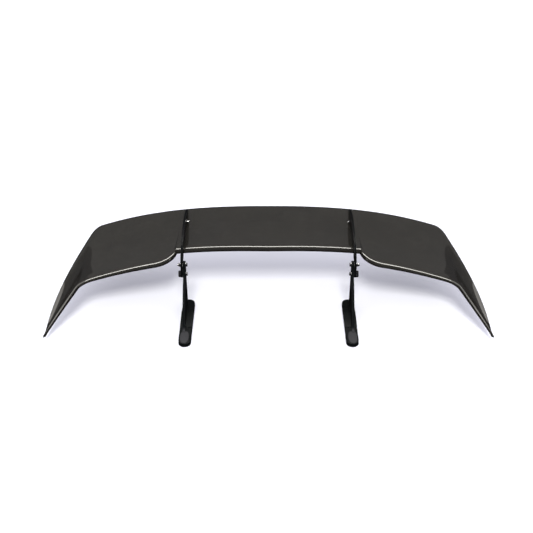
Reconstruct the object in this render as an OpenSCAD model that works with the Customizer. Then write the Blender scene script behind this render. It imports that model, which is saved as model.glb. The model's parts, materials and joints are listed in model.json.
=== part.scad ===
// Racing rear wing: a one-piece carbon aerofoil with drooped ends, hung from above by two swan-neck
// arms that tilt on a pair of stays. The stays' long feet bolt to a boot lid from below.
// +X runs along the span, +Y rearwards, +Z up. The origin is the middle of the overall box, on the
// plane that the feet stand on. Lengths called "behind" or "above" the pivot start at its axis.

/* [Wing plan and arch] */
// Half width of the flat part, from the centre to the crease, at the trailing edge
crease_x = 665; // [600:1:720]
// How much further out the crease lies at the leading edge
crease_splay = 15; // [0:1:25]
// Trailing edge behind the pivot, at the centre
te_back = 315; // [290:1:340]
// Trailing edge above the pivot, at the centre
te_rise = 60; // [40:1:80]
// How far the trailing edge comes forward from the centre to the crease
te_sweep = 38; // [10:1:60]
// How far the trailing edge drops from the centre to the crease
te_arch = 72; // [40:1:90]
// Chord at the centre
centre_chord = 261; // [240:1:275]
// Chord just outboard of the leading-edge step
outer_chord = 317; // [290:1:330]
// Chord at the crease
crease_chord = 325; // [300:1:345]
// Incidence of the chord line, trailing edge up, in degrees
incidence = 8; // [4:0.5:10]

/* [Leading-edge step] */
// Gap from a neck's outer face to the step
step_gap = 19; // [12:1:30]
// Width of the step along the span
step_width = 80; // [60:1:110]

/* [Drooped ends] */
// Tip outboard of the crease at the trailing edge
tip_out = 130; // [100:1:160]
// Tip ahead of the pivot
tip_ahead = 196; // [150:1:210]
// Height of the tip above the ground plane
tip_height = 24; // [22:1:60]
// Chord left at the tip
tip_chord = 20; // [12:1:40]

/* [Section] */
// Thickness of the aerofoil at the centre
section_thickness = 27; // [24:0.5:30]
// Thickness of the aerofoil at the crease
crease_thickness = 20; // [18:0.5:28]
// Thickness of the aerofoil at the tip
tip_thickness = 9; // [8:0.5:16]
// Camber, as a share of the chord, sagging below the chord line
camber = 0.04; // [0.02:0.005:0.06]
// Length of the blunt nose, as a share of the chord
nose_share = 0.11; // [0.08:0.01:0.16]
// Thickness of the trailing edge
te_thickness = 3; // [2:0.25:5]
// Laminate thickness of each skin
skin = 0.9; // [0.8:0.1:2]

/* [Inside the wing] */
// Front spar ahead of the trailing edge
front_spar_at = 195; // [185:1:200]
// Rear spar ahead of the trailing edge
rear_spar_at = 66; // [58:1:72]
// Thickness of the spar webs
spar_t = 4; // [3:0.5:6]
// Thickness of the ribs
rib_t = 3; // [2:0.5:4]
// Width of a saddle's bonded base
saddle_w = 34; // [26:1:42]
// Thickness of a saddle's base
saddle_t = 4; // [3:0.5:6]

/* [Supports] */
// Distance between the middle planes of the two stays
stay_spacing = 606; // [560:1:640]
// Thickness of the stay plates
stay_t = 9; // [8:0.5:12]
// Thickness of the swan-neck plates
neck_t = 7.5; // [7:0.5:10]
// Height of the pivot above the ground plane
pivot_height = 203; // [190:1:230]
// Radius of the plates' round ends at the pivot
eye_r = 14; // [13:0.5:17]
// Distance from the pivot down to the lock stud
lock_reach = 34; // [32:1:44]
// Forward lean of the line from the pivot to the lock stud, in degrees
lock_lean = 20; // [14:1:26]
// Steepest tilt from the drawn position, trailing edge up, in degrees
tilt_up = 4; // [2:0.5:5]
// Flattest tilt from the drawn position, trailing edge down, in degrees
tilt_down = 8; // [2:0.5:10]
// Height of a neck's hump above the upper skin
neck_hump = 50; // [40:1:54]
// Free space between a neck and the wing's nose
nose_space = 10; // [6:1:14]

/* [Feet] */
// Width of a foot
foot_w = 44; // [40:1:52]
// How far a foot's middle line lies inboard of its stay
foot_inset = 6; // [0:0.5:9]
// Thickness of a foot's plate
foot_t = 13; // [11:0.5:15]
// Length of a foot ahead of the pivot
foot_ahead = 220; // [210:1:250]
// Length of a foot behind the pivot
foot_behind = 45; // [30:1:70]
// Height of the raised block on a foot, at its rear
block_h = 9; // [5:0.5:12]
// Rear end of the raised block, ahead of the pivot
block_rear = 38; // [30:1:50]
// Front end of the raised block, ahead of the pivot
block_front = 127; // [110:1:140]
// Thickness of the rubber pad under a foot
pad_t = 3; // [2:0.5:5]
// Distance between a foot's two tapped holes
hole_pitch = 170; // [150:1:190]
// Radius of a tapped hole's bore, for an M8 thread
thread_r = 4; // [3:0.25:4.5]
// Depth of a tapped hole's insert
insert_h = 9; // [7:0.5:10]

/* [Fasteners] */
// Radius of the pivot bolt's shank
pivot_r = 4; // [4:0.5:6]
// Radius of the lock stud's shank
lock_r = 4; // [3:0.5:5]
// Radius of the lock knob
knob_r = 12; // [11:0.5:14]
// Length of the lock knob
knob_h = 8; // [7:0.5:12]
// Radius of the bolt through a saddle's fin
fin_bolt_r = 3; // [2.5:0.25:4]
// Thickness of a saddle's fin
fin_t = 3; // [2.5:0.25:4]
// Height of a saddle's fin above the upper skin
fin_h = 18; // [16:0.5:22]

/* [Fits] */
// Radial clearance of a turning fit
running = 0.05; // [0.02:0.01:0.1]
// Radial clearance of a bolt in its hole
clearance = 0.2; // [0.1:0.05:0.4]
// Glue line, and free gap between neighbouring pieces
gap = 0.3; // [0.3:0.05:0.6]

/* [Hidden] */

black_metal = [0.13, 0.13, 0.14];
bright_metal = [0.75, 0.76, 0.78];
bare_alloy = [0.6, 0.62, 0.65];
cut = 1;            // how far a cutter runs past the face it opens
shim_t = 0.5;        // nylon shim between a stay and its neck
// Sizes of heads and nuts, per unit of the shank's radius
across = 3.25;       // over a hexagon's flats
flange_r = 2.125;
flange_t = 0.3;
head_h = 1.325;      // hexagon above the flange
nut_h = 1.625;
dome_r = 1.45;
bush_wall = 2;
insert_wall = 1;

// The box is centred front to rear between a foot's end and the trailing edge.
pivot_y = (foot_ahead - te_back - te_thickness / 2 * sin(incidence)) / 2;
stay_x = stay_spacing / 2;
plate_gap = shim_t + 2 * gap;
neck_x = stay_x + stay_t / 2 + plate_gap + neck_t / 2;

// ---- wing surface: span parameter t is 0 at the centre, 1 at the crease and 2 at the tip ----
t_neck = neck_x / crease_x;
step_from = (neck_x + neck_t / 2 + step_gap) / crease_x;
step_to = step_from + step_width / crease_x;
arch_power = 2.8;
rib_shoulder = 0.88; // where the shoulder ribs stand
inner_taper = 8;    // chord lost from the centre to the step
le_round = [0.06, 0.13];    // shares of the flat part and of the droop taken by the rounded crease
te_round = [0.04, 0.08];    // the same at the trailing edge, where the crease is sharper
te_bulge = [19, 0, 6];

function mix(a, b, f) = a + (b - a) * f;
function clamp01(v) = min(1, max(0, v));
function unit(v) = v / norm(v);
function bezier(a, b, c, f) = a * pow(1 - f, 2) + b * 2 * f * (1 - f) + c * f * f;

function te_flat(t) = [
    crease_x * t,
    te_back - te_sweep * t * t,
    pivot_height + te_rise - te_arch * pow(t, arch_power)];
function chord_at(t) =
    let (stepped = clamp01((t - step_from) / (step_to - step_from)),
        inner = centre_chord - inner_taper * clamp01(t / step_from),
        outer = mix(outer_chord, crease_chord, clamp01((t - step_to) / (1 - step_to))))
    mix(inner, outer, pow(1 - pow(1 - stepped, 2.2), 0.6));
function le_flat(t) = te_flat(t) + [
    crease_splay * pow(t, 4),
    -chord_at(t) * cos(incidence),
    -chord_at(t) * sin(incidence)];

te_corner = te_flat(1);
le_corner = le_flat(1);
le_tip = [crease_x + tip_out, -tip_ahead, tip_height];
te_tip = le_tip + tip_chord * unit([-0.25, 1, 0.35]);

function te_droop(f) = mix(te_corner, te_tip, f) + te_bulge * 4 * f * (1 - f) * (0.7 + 0.6 * f);
function le_droop(f) = mix(le_corner, le_tip, f);
function in_flat(t, r) = t < 1 - r[0];
function in_droop(t, r) = t > 1 + r[1];
function round_share(t, r) = (t - 1 + r[0]) / (r[0] + r[1]);
function te(t) = in_flat(t, te_round) ? te_flat(t) : in_droop(t, te_round) ? te_droop(t - 1)
    : bezier(te_flat(1 - te_round[0]), te_corner, te_droop(te_round[1]), round_share(t, te_round));
function le(t) = in_flat(t, le_round) ? le_flat(t) : in_droop(t, le_round) ? le_droop(t - 1)
    : bezier(le_flat(1 - le_round[0]), le_corner, le_droop(le_round[1]), round_share(t, le_round));
function chord(t) = norm(te(t) - le(t));
function thick(t) = t > 1 ? mix(crease_thickness, tip_thickness, t - 1)
    : mix(section_thickness, crease_thickness, clamp01((t - step_from) / (1 - step_from)));

// Unit vectors of the section at t: along its chord, and out of the upper skin.
function along(t) = unit(te(t) - le(t));
function outward(t) =
    let (e = 0.004, a = min(t, 2 - e), span = te(a + e) + le(a + e) - te(a) - le(a))
    unit(cross(span, along(t)));
function place(t, p) = le(t) + along(t) * p[0] + outward(t) * p[1];

function half(u, th) = u < nose_share
    ? th / 2 * sqrt(max(0, 1 - pow(1 - u / nose_share, 2)))
    : mix(th, te_thickness, pow((u - nose_share) / (1 - nose_share), 1.5)) / 2;
function mean(u, c) = -camber * c * 4 * u * (1 - u);
function wall(u, t) =
    let (h = half(u, thick(t)))
    max(min(skin, 0.6 * h), h * clamp01((t - 1.9) / 0.06));
// Height of the skin's outer (inset = 0) or inner (inset = 1) face at u, above or below.
function face(u, t, side, inset) =
    mean(u, chord(t)) + side * (half(u, thick(t)) - inset * wall(u, t));

chord_steps = 14;
function share(k) = let (f = k / chord_steps) f * f * (1 - 0.25 * f) / 0.75;
hollow_to = 0.9;    // share of the chord where the two skins meet behind the cavity
function skin_outline(t, side) =
    let (c = chord(t), hollow_from = 1.3 * skin / c, blunt = t > 1.995 ? 0.5 : 1)
    [for (p = concat(
        [for (k = [0:chord_steps]) let (u = share(k)) [u * c, face(u, t, side, 0)]],
        [[c, 0], [hollow_to * c, mean(hollow_to, c)]],
        [for (k = [chord_steps:-1:0]) let (u = mix(hollow_from, hollow_to, share(k)))
            [u * c, face(u, t, side, 1)]],
        [[hollow_from * c, mean(hollow_from, c)]])) [p[0], p[1] * blunt]];

// Stations of the skins. The spars use those up to the shoulder ribs, so that they follow the skins.
flat_stations = concat(
    [for (k = [0:7]) step_from * k / 7],
    [for (f = [0.02, 0.08, 0.18, 0.34, 0.55, 0.78, 1]) mix(step_from, step_to, f)],
    [for (k = [1:4]) mix(step_to, rib_shoulder, k / 4)]);
half_stations = concat(
    flat_stations,
    [1 - le_round[0], 1 - te_round[0], 0.985, 1.005, 1.03, 1 + te_round[1], 1 + le_round[1]],
    [for (k = [1:6]) mix(1 + le_round[1], 1.96, k / 6)],
    [1.985, 2]);

// Span stations from one limit to the other, as [t, side] pairs.
function both_sides(ts) = concat(
    [for (k = [len(ts) - 1:-1:1]) [ts[k], -1]],
    [for (t = ts) [t, 1]]);
function mirrored(p, side) = [p[0] * side, p[1], p[2]];

// Joins rings that all have the same number of points into one closed solid.
module loft(rings, flip = false) {
    n = len(rings[0]);
    m = len(rings);
    walls = [for (i = [0:m - 2], k = [0:n - 1])
        let (a = i * n + k, b = i * n + (k + 1) % n)
        each [[a, b, b + n], [a, b + n, a + n]]];
    ends = [[for (k = [n - 1:-1:0]) k], [for (k = [0:n - 1]) (m - 1) * n + k]];
    faces = concat(walls, ends);
    translate([0, pivot_y, 0])
        polyhedron([for (r = rings) each r],
            flip ? [for (f = faces) [for (k = [len(f) - 1:-1:0]) f[k]]] : faces,
            convexity = 10);
}

module skin_shell(side)
    loft([for (s = both_sides(half_stations))
        [for (p = skin_outline(s[0], side)) mirrored(place(s[0], p), s[1])]],
        flip = side < 0);

// A web between the skins, standing `at` ahead of the trailing edge.
function web_ring(t, at, width) =
    let (c = chord(t), a = c - at - width / 2, b = c - at + width / 2)
    [for (q = [[a, -1], [b, -1], [b, 1], [a, 1]])
        place(t, [q[0], face(q[0] / c, t, q[1], 1) - q[1] * gap])];
rib_mount = (neck_x - saddle_w / 2 - gap - rib_t) / crease_x;
rib_steps = 6;
spar_stations = concat(
    [for (t = flat_stations) if (t < rib_shoulder) t],
    [rib_shoulder - rib_t / crease_x]);
module spar(at)
    loft([for (s = both_sides(spar_stations))
        [for (p = web_ring(s[0], at, spar_t)) mirrored(p, s[1])]], flip = true);

// A rib from the front spar to the rear spar.
function rib_ring(t) =
    let (c = chord(t), a = c - front_spar_at + spar_t / 2 + gap,
        b = c - rear_spar_at - spar_t / 2 - gap)
    [for (q = concat([for (k = [0:rib_steps]) [mix(a, b, k / rib_steps), -1]],
        [for (k = [rib_steps:-1:0]) [mix(a, b, k / rib_steps), 1]]))
        place(t, [q[0], face(q[0] / c, t, q[1], 1) - q[1] * gap])];
module rib(t, side) {
    half_rib = rib_t / 2 / crease_x;
    rings = [for (d = [-half_rib, half_rib]) [for (p = rib_ring(t + d)) mirrored(p, side)]];
    loft(rings, flip = side > 0);
}

// ---- frames of the supports: children are drawn for the right-hand side ----
module on_side(side) mirror([side < 0 ? 1 : 0, 0, 0]) children();
module at_pivot() translate([0, pivot_y, pivot_height]) children();
lock_at = [0, -lock_reach * sin(lock_lean), -lock_reach * cos(lock_lean)];
// A plate drawn as (y, z), standing in the plane x, thickness t.
module plate(x, t) translate([x - t / 2, 0, 0])
    rotate([90, 0, 90]) linear_extrude(t) children();
// A round bar along X from x1 to x2.
module bar(x1, x2, r, segments = 48) translate([x1, 0, 0])
    rotate([0, 90, 0]) cylinder(h = x2 - x1, r = r, $fn = segments);

neck_in = neck_x - neck_t / 2;
neck_out = neck_x + neck_t / 2;
stay_in = stay_x - stay_t / 2;
stay_out = stay_x + stay_t / 2;

// The chord frame at the neck: +Y along the chord from the leading edge, +Z out of the upper skin.
neck_le = le_flat(t_neck);
neck_chord = chord_at(t_neck);
module on_chord() translate([neck_x, neck_le[1], neck_le[2] - pivot_height])
    rotate([incidence, 0, 0]) children();
function top_skin(s) = face(s / neck_chord, t_neck, 1, 0);
// The wing falls away outboard, so a flat piece of width w needs this much more room.
span_slope = te_arch * arch_power * pow(t_neck, arch_power - 1) / crease_x;
function slope_room(w) = gap + w / 2 * span_slope;
function chord_to_pivot(p) = [
    neck_le[1] + p[0] * cos(incidence) - p[1] * sin(incidence),
    neck_le[2] - pivot_height + p[0] * sin(incidence) + p[1] * cos(incidence)];

saddle_from = neck_chord - front_spar_at + spar_t / 2 + 6;
saddle_to = neck_chord - rear_spar_at - spar_t / 2 - 3;
fin_inset = 6;
fin_from = saddle_from + fin_inset;
fin_to = saddle_to - fin_inset;
saddle_top = min([for (s = [saddle_from:6:saddle_to]) top_skin(s)]) - skin
    - slope_room(saddle_w);
fin_top = fin_h + min([for (s = [fin_from:6:fin_to]) top_skin(s)]);
fin_bolt_s = fin_to - 9;
fin_dowel_s = fin_from + 14;
fin_hole_z = fin_top - 8;

// ---- necks ----
// The outline runs forward along the hump's back, round the eye and the lock's end, then back
// under the hump, round the nose and along the upper skin.
function arc(c, r, a1, a2, n) = [for (k = [0:n]) let (a = mix(a1, a2, k / n))
    c + r * [cos(a), sin(a)]];
function curve(a, b, c, n) = [for (k = [1:n - 1]) bezier(a, b, c, k / n)];
seat = slope_room(neck_t);
neck_end_u = 0.985;
neck_toe_u = 0.17;
neck_lock = [lock_at[1], lock_at[2]];
lock_end_r = 13;
nose_len = nose_share * neck_chord;
// A point round the nose at nose_space from it: 180 degrees is ahead, 90 above.
function nose_point(a) = chord_to_pivot([
    nose_len + (nose_len + nose_space) * cos(a),
    mean(nose_share, neck_chord) + (section_thickness / 2 + nose_space) * sin(a)]);
neck_rear = chord_to_pivot([neck_end_u * neck_chord, top_skin(neck_end_u * neck_chord) + seat]);
crest = chord_to_pivot([0.4 * neck_chord, top_skin(0.4 * neck_chord) + neck_hump]);
crest_back = chord_to_pivot([0.66 * neck_chord, top_skin(0.66 * neck_chord) + neck_hump]);
brow = chord_to_pivot([-nose_space - 9, section_thickness / 2 + 24]);
brow_knee = brow + [35, 24];
brow_foot = brow - [32, 19];
eye_front = eye_r * [cos(150), sin(150)];
lock_side = lock_lean + 180;
neck_outline = concat(
    [neck_rear + [0, 2.5]],
    curve(neck_rear + [0, 2.5], crest_back, crest, 10),
    [crest],
    curve(crest, brow_knee, brow, 10),
    [brow],
    curve(brow, brow_foot, eye_front, 8),
    arc([0, 0], eye_r, 150, 165, 2),
    arc(neck_lock, lock_end_r, 172, 320, 12),
    arc([0, 0], eye_r, -22, 10, 4),
    curve(eye_r * [cos(10), sin(10)], [32, 2], nose_point(180), 5),
    [for (a = [180:-8:76]) nose_point(a)],
    [for (k = [0:12]) let (s = mix(neck_toe_u, neck_end_u, k / 12) * neck_chord)
        chord_to_pivot([s, top_skin(s) + seat])]);

module neck(side) color(black_metal) on_side(side) at_pivot() difference() {
    plate(neck_x, neck_t) polygon(neck_outline);
    bar(neck_in - cut, neck_out + cut, pivot_r + bush_wall);
    plate(neck_x, neck_t + 2 * cut) polygon(slot_outline);
    on_chord() translate([-fin_t / 2 - clearance, fin_from - gap, -section_thickness])
        cube([fin_t + 2 * clearance, fin_to - fin_from + 2 * gap,
            section_thickness + fin_top + gap]);
    on_chord() {
        translate([0, fin_bolt_s, fin_hole_z])
            bar(-neck_t, neck_t, fin_bolt_r + clearance);
        translate([0, fin_dowel_s, fin_hole_z]) bar(-neck_t, neck_t, fin_bolt_r);
    }
}

// The slot lets the neck turn round the fixed lock stud, which nears its ends at full tilt.
slot_r = lock_r + clearance;
slot_a = -90 - lock_lean - tilt_up;
slot_b = -90 - lock_lean + tilt_down;
function slot_end(a, from) = [for (k = [1:11]) lock_reach * [cos(a), sin(a)]
    + slot_r * [cos(from + 15 * k), sin(from + 15 * k)]];
slot_outline = concat(
    arc([0, 0], lock_reach + slot_r, slot_a, slot_b, 8), slot_end(slot_b, slot_b),
    arc([0, 0], lock_reach - slot_r, slot_b, slot_a, 8), slot_end(slot_a, slot_a + 180));

module saddle(side) color(bare_alloy) on_side(side) at_pivot() on_chord() difference() {
    union() {
        translate([-saddle_w / 2, saddle_from, saddle_top - saddle_t])
            cube([saddle_w, saddle_to - saddle_from, saddle_t]);
        translate([-fin_t / 2, fin_from, saddle_top - saddle_t / 2])
            cube([fin_t, fin_to - fin_from, fin_top - saddle_top + saddle_t / 2]);
    }
    translate([0, fin_bolt_s, fin_hole_z]) bar(-fin_t, fin_t, fin_bolt_r + clearance);
    translate([0, fin_dowel_s, fin_hole_z]) bar(-fin_t, fin_t, fin_bolt_r);
}

module fin_slot() for (side = [-1, 1]) on_side(side) at_pivot() on_chord()
    translate([-fin_t / 2 - gap, fin_from - gap, saddle_top])
        cube([fin_t + 2 * gap, fin_to - fin_from + 2 * gap, fin_top - saddle_top]);

// ---- fasteners; heads and nuts sit on plate faces along X ----
module hex(x1, x2, across) translate([x1, 0, 0]) rotate([90, 0, 90])
    linear_extrude(x2 - x1)
        polygon([for (a = [30:60:330]) across / 2 / cos(30) * [cos(a), sin(a)]]);
// A button head growing towards -X from the face at x, with its hexagon socket.
module button_head(x, r, h) difference() {
    translate([x, 0, 0]) rotate([0, -90, 0]) rotate_extrude($fn = 64)
        polygon([[0, 0], [r, 0], [r * 0.97, h * 0.35], [r * 0.85, h * 0.7],
            [r * 0.62, h * 0.95], [r * 0.5, h], [0, h]]);
    hex(x - h - cut, x - h * 0.4, r * 0.72);
}

// A closed nut standing on the face at x, its dome towards +X, for a shank of radius r.
module domed_nut(x, h, r) difference() {
    union() {
        hex(x, x + h, r * across);
        intersection() {
            translate([x + h, 0, 0]) sphere(r = r * dome_r, $fn = 48);
            bar(x + h - 0.5, x + h + r * dome_r + cut, r * dome_r);
        }
    }
    bar(x - cut, x + h, r);
}

// The bolt goes in from the neck's outer side and its nut sits on the inner side.
module fin_bolt(side) color(black_metal) on_side(side) at_pivot() on_chord() mirror([1, 0, 0])
    translate([0, fin_bolt_s, fin_hole_z]) {
        button_head(-neck_t / 2, fin_bolt_r * 1.85, fin_bolt_r * 1.1);
        bar(-neck_t / 2 - 0.2, neck_t / 2 + fin_nut_h, fin_bolt_r);
    }
fin_nut_h = fin_bolt_r * 1.8;
module fin_nut(side) color(bright_metal) on_side(side) at_pivot() on_chord() mirror([1, 0, 0])
    translate([0, fin_bolt_s, fin_hole_z]) domed_nut(neck_t / 2, fin_nut_h, fin_bolt_r);
module fin_dowel(side) color(black_metal) on_side(side) at_pivot() on_chord()
    translate([0, fin_dowel_s, fin_hole_z]) bar(-neck_t / 2, neck_t / 2, fin_bolt_r);

module pivot_bush(side) color([0.6, 0.48, 0.25]) on_side(side) at_pivot() difference() {
    bar(neck_in, neck_out, pivot_r + bush_wall);
    bar(neck_in - cut, neck_out + cut, pivot_r + running);
}
nut_face = neck_out + gap;
// A flanged hexagon head growing towards -X from the face at x.
module hex_head(x, r) {
    bar(x - r * flange_t, x, r * flange_r);
    hex(x - r * (flange_t + head_h), x - r * flange_t, r * across);
}
module pivot_bolt(side) color(bright_metal) on_side(side) at_pivot() {
    hex_head(stay_in, pivot_r);
    bar(stay_in - pivot_r * flange_t / 2, nut_face + pivot_r * nut_h, pivot_r);
}
module spacer_washer(side) color([0.85, 0.84, 0.8]) on_side(side) at_pivot() difference() {
    bar(stay_out + gap, neck_in - gap, pivot_r + 5);
    bar(stay_out, neck_in, pivot_r + running);
}
module pivot_nut(side) color(bright_metal) on_side(side) at_pivot() {
    difference() {
        bar(nut_face, nut_face + pivot_r * flange_t, pivot_r * flange_r);
        bar(nut_face - cut, nut_face + pivot_r, pivot_r);
    }
    domed_nut(nut_face, pivot_r * nut_h, pivot_r);
}

knob_face = neck_out + gap;
stud_end = knob_face + knob_h - 2;
module lock_stud(side) color(bright_metal) on_side(side) at_pivot() translate(lock_at) {
    hex_head(stay_in, lock_r);
    bar(stay_in - lock_r * flange_t / 2, stud_end, lock_r);
}
grips = 12;
module lock_knob(side) color(black_metal) on_side(side) at_pivot() translate(lock_at)
    difference() {
        union() {
            bar(knob_face, knob_face + knob_h - 1.5, knob_r);
            translate([knob_face + knob_h - 1.5, 0, 0]) rotate([0, 90, 0])
                cylinder(h = 1.5, r1 = knob_r, r2 = knob_r - 1.5, $fn = 64);
        }
        bar(knob_face - cut, stud_end + gap, lock_r + running);
        for (k = [0:grips - 1]) rotate([k * 360 / grips, 0, 0])
            translate([0, knob_r + 1.4, 0])
                bar(knob_face + 1.5, knob_face + knob_h + cut, 2.2, 24);
    }

// ---- stays ----
foot_under = pad_t - pivot_height;
foot_top = foot_under + foot_t;
foot_x = stay_x - foot_inset;
block_step = block_h * 0.45;  // height of the lower step behind the block
block_step_y = 22 - block_rear;
block_brow = block_rear + 14; // where the block's flat top turns into its slope
block_toe = 2.5;              // height of the block at its front
stay_heel = 14;               // rear end of the stay's root, behind the pivot
stay_toe = -block_front - 29; // front end of the root
toe_h = 9;                    // height of the root's front end above the foot
// The front edge falls from the eye past a knee, then sweeps out to the toe.
stay_knee = [lock_at[1] - 40, lock_at[2] - 26];
stay_waist = [lock_at[1] - 80, lock_at[2] - 59];
stay_outline = concat(
    arc([0, 0], eye_r, 175, -12, 14),
    curve(eye_r * [cos(12), -sin(12)], [2, foot_top / 2], [stay_heel, foot_top + 1], 10),
    [[stay_heel, foot_under + 1], [stay_toe, foot_under + 1],
        [stay_toe, foot_top + toe_h - 5], [stay_toe + 6, foot_top + toe_h]],
    curve([stay_toe + 6, foot_top + toe_h], stay_waist, stay_knee, 8),
    [stay_knee],
    curve(stay_knee, [lock_at[1] - 4, lock_at[2]], eye_r * [cos(175), sin(175)], 6));

module pill(h) {
    r = foot_w / 2;
    for (y = [-foot_ahead + r, foot_behind - r])
        translate([foot_x, y, 0]) cylinder(h = h, r = r, $fn = 96);
    translate([foot_x - r, -foot_ahead + r, 0])
        cube([foot_w, foot_ahead + foot_behind - foot_w, h]);
}
hole_mid = (foot_behind - foot_ahead) / 2;
module at_holes() for (y = [-hole_pitch / 2, hole_pitch / 2])
    translate([foot_x, hole_mid + y, 0]) children();

module stay(side) color(black_metal) on_side(side) at_pivot() difference() {
    union() {
        plate(stay_x, stay_t) polygon(stay_outline);
        translate([0, 0, foot_under]) pill(foot_t);
        plate(foot_x, foot_w) polygon([[block_step_y, foot_top - 1],
            [block_step_y, foot_top + block_step], [-block_rear, foot_top + block_step],
            [-block_rear, foot_top + block_h], [-block_brow, foot_top + block_h],
            [-block_front, foot_top + block_toe], [-block_front, foot_top - 1]]);
    }
    bar(stay_in - cut, stay_out + cut, pivot_r + clearance);
    translate(lock_at) bar(stay_in - cut, stay_out + cut, lock_r);
    translate([0, 0, foot_under - cut]) at_holes()
        cylinder(h = insert_h + cut, r = thread_r + insert_wall, $fn = 48);
}
module foot_pad(side) color([0.08, 0.08, 0.08]) on_side(side) translate([0, pivot_y, 0])
    difference() {
        pill(pad_t);
        translate([0, 0, -cut]) at_holes()
            cylinder(h = pad_t + 2 * cut, r = thread_r + insert_wall + 0.5, $fn = 48);
    }
module thread_inserts(side) color(bright_metal) on_side(side) translate([0, pivot_y, pad_t])
    at_holes() difference() {
        cylinder(h = insert_h, r = thread_r + insert_wall, $fn = 48);
        translate([0, 0, -cut]) cylinder(h = insert_h + 2 * cut, r = thread_r, $fn = 48);
    }

module upper_skin() color([0.2, 0.2, 0.19]) difference() {
    skin_shell(1);
    fin_slot();
}
module lower_skin() color([0.16, 0.16, 0.16]) skin_shell(-1);
module front_spar() color([0.3, 0.3, 0.3]) spar(front_spar_at);
module rear_spar() color([0.3, 0.3, 0.3]) spar(rear_spar_at);

upper_skin();
lower_skin();
front_spar();
rear_spar();
rib(rib_mount, -1);  // mount_rib_left
rib(rib_mount, 1);  // mount_rib_right
rib(rib_shoulder, -1);  // shoulder_rib_left
rib(rib_shoulder, 1);  // shoulder_rib_right
saddle(-1);  // saddle_left
saddle(1);  // saddle_right
neck(-1);  // neck_left
neck(1);  // neck_right
fin_bolt(-1);  // fin_bolt_left
fin_bolt(1);  // fin_bolt_right
fin_nut(-1);  // fin_nut_left
fin_nut(1);  // fin_nut_right
fin_dowel(-1);  // fin_dowel_left
fin_dowel(1);  // fin_dowel_right
pivot_bush(-1);  // pivot_bush_left
pivot_bush(1);  // pivot_bush_right
stay(-1);  // stay_left
stay(1);  // stay_right
foot_pad(-1);  // foot_pad_left
foot_pad(1);  // foot_pad_right
thread_inserts(-1);  // thread_inserts_left
thread_inserts(1);  // thread_inserts_right
pivot_bolt(-1);  // pivot_bolt_left
pivot_bolt(1);  // pivot_bolt_right
spacer_washer(-1);  // spacer_washer_left
spacer_washer(1);  // spacer_washer_right
pivot_nut(-1);  // pivot_nut_left
pivot_nut(1);  // pivot_nut_right
lock_stud(-1);  // lock_stud_left
lock_stud(1);  // lock_stud_right
lock_knob(-1);  // lock_knob_left
lock_knob(1);  // lock_knob_right
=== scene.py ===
"""Looks for a racing rear wing: glossy laminate, coated alloy arms and stays, steel hardware.

Every length is in metres. The aerofoil repeats the sizes of the CAD part, finely sampled, and the
plates keep the CAD outline with softened edges.
"""

import json
import logging
import math
from collections import defaultdict
from dataclasses import dataclass
from enum import Enum
from typing import Optional

import bmesh
import bpy
import numpy as np
from mathutils import Matrix, Vector


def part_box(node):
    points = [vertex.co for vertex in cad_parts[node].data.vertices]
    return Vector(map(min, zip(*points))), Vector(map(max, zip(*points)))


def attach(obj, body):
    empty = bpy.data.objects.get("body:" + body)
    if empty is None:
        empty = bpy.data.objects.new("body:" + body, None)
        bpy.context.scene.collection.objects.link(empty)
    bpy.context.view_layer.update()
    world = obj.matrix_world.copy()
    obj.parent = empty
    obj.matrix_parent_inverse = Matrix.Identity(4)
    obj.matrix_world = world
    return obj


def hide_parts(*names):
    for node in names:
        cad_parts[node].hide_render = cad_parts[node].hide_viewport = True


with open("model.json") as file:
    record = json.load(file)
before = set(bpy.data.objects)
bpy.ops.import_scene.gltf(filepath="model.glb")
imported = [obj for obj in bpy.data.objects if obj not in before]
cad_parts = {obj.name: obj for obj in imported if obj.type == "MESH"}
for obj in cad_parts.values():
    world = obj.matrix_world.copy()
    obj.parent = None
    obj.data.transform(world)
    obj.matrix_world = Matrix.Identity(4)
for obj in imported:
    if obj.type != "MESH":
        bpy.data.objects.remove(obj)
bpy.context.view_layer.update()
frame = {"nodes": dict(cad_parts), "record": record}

log = logging.getLogger("rear_wing")
MM = 0.001


class Side(Enum):
    """The two mirrored halves of the wing."""

    LEFT = -1
    RIGHT = 1

    @property
    def word(self) -> str:
        """The name that node names end in."""
        return self.name.lower()


class Body(Enum):
    """The rigid bodies of the frame."""

    STAYS = "stays"
    WING = "wing"
    KNOB_LEFT = "lock_knob_left_turning"
    KNOB_RIGHT = "lock_knob_right_turning"


class Cloth(Enum):
    """How many tows each tow floats over: the step of the weave's diagonal."""

    PLAIN = 1
    TWILL = 2


# ---- node helpers


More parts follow.
